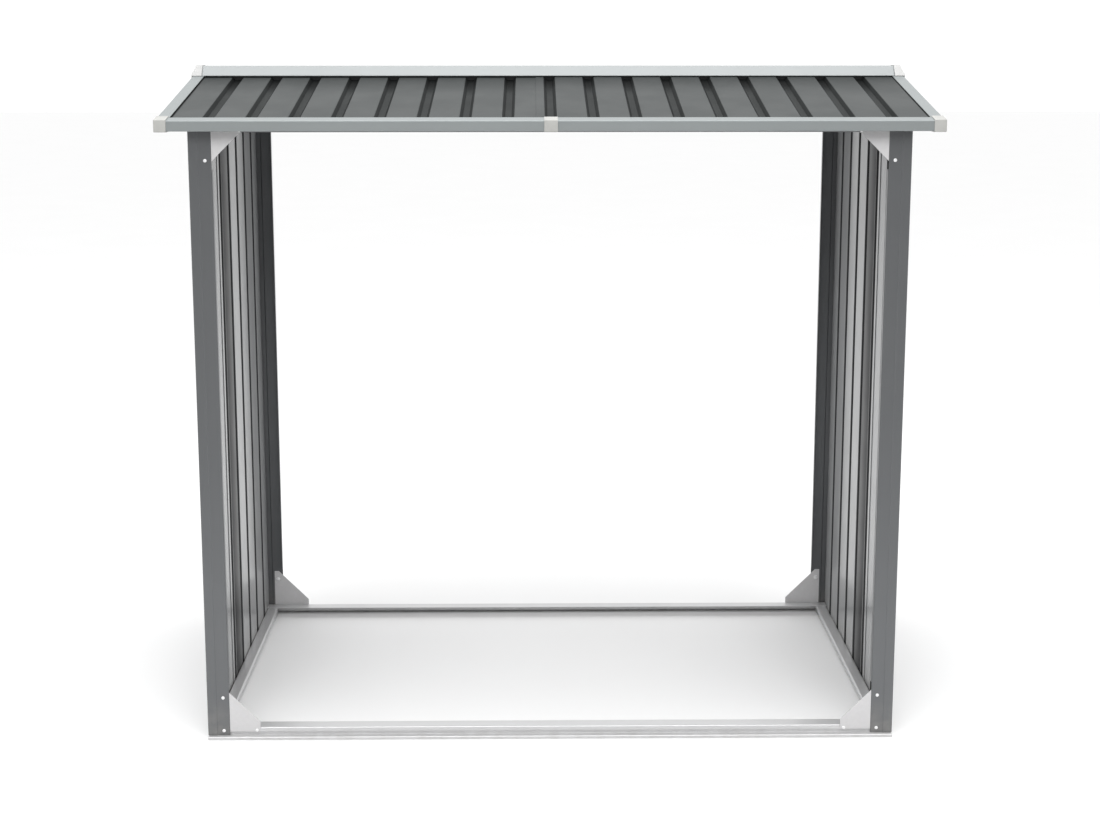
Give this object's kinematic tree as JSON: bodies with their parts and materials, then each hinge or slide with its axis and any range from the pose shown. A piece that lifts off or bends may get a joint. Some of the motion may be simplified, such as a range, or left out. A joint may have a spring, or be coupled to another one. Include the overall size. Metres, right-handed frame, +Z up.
{
  "type": "log store",
  "caption": "Open steel log store with ribbed side walls, corner posts, base rails and a shallow gable roof of ribbed sheets with trims.",
  "frame": {"origin": "on the ground under the middle of the store", "axes": "+Z up, +X to the right seen from the front, +Y to the back; the front opening faces -Y"},
  "size_m": [1.72, 0.91, 1.5401],
  "materials": {
    "base_steel": "pale grey coated steel, satin",
    "frame_steel": "dark grey coated steel, satin",
    "wall_sheet": "dark grey coated sheet, satin",
    "roof_sheet": "dark grey coated sheet, satin",
    "trim_steel": "light grey coated steel, satin",
    "plate_steel": "pale grey coated plate, satin",
    "grey_plastic": "warm grey moulded plastic, matt",
    "pale_plastic": "pale moulded plastic, matt"
  },
  "bodies": {
    "root": {"base_front_rail": "base_steel", "base_left_rail": "base_steel", "base_rear_rail": "base_steel", "base_right_rail": "base_steel", "corner_cap_front_left": "grey_plastic", "corner_cap_front_right": "grey_plastic", "corner_cap_rear_left": "grey_plastic", "corner_cap_rear_right": "grey_plastic", "eave_trim_front_left": "trim_steel", "eave_trim_front_right": "trim_steel", "eave_trim_rear_left": "trim_steel", "eave_trim_rear_right": "trim_steel", "gable_left": "wall_sheet", "gable_right": "wall_sheet", "gusset_high_front_left": "plate_steel", "gusset_high_front_right": "plate_steel", "gusset_low_front_left": "plate_steel", "gusset_low_front_right": "plate_steel", "gusset_low_rear_left": "plate_steel", "gusset_low_rear_right": "plate_steel", "header_front": "frame_steel", "header_rear": "frame_steel", "joint_cover_front": "grey_plastic", "joint_cover_rear": "grey_plastic", "post_front_left": "frame_steel", "post_front_right": "frame_steel", "post_rear_left": "frame_steel", "post_rear_right": "frame_steel", "ridge_beam": "frame_steel", "ridge_cap": "trim_steel", "ridge_end_left": "pale_plastic", "ridge_end_right": "pale_plastic", "roof_front_left": "roof_sheet", "roof_front_right": "roof_sheet", "roof_rear_left": "roof_sheet", "roof_rear_right": "roof_sheet", "verge_trim_front_left": "trim_steel", "verge_trim_front_right": "trim_steel", "verge_trim_rear_left": "trim_steel", "verge_trim_rear_right": "trim_steel", "wall_left_front": "wall_sheet", "wall_left_rear": "wall_sheet", "wall_rail_left": "frame_steel", "wall_rail_right": "frame_steel", "wall_right_front": "wall_sheet", "wall_right_rear": "wall_sheet"}
  },
  "joints": []
}
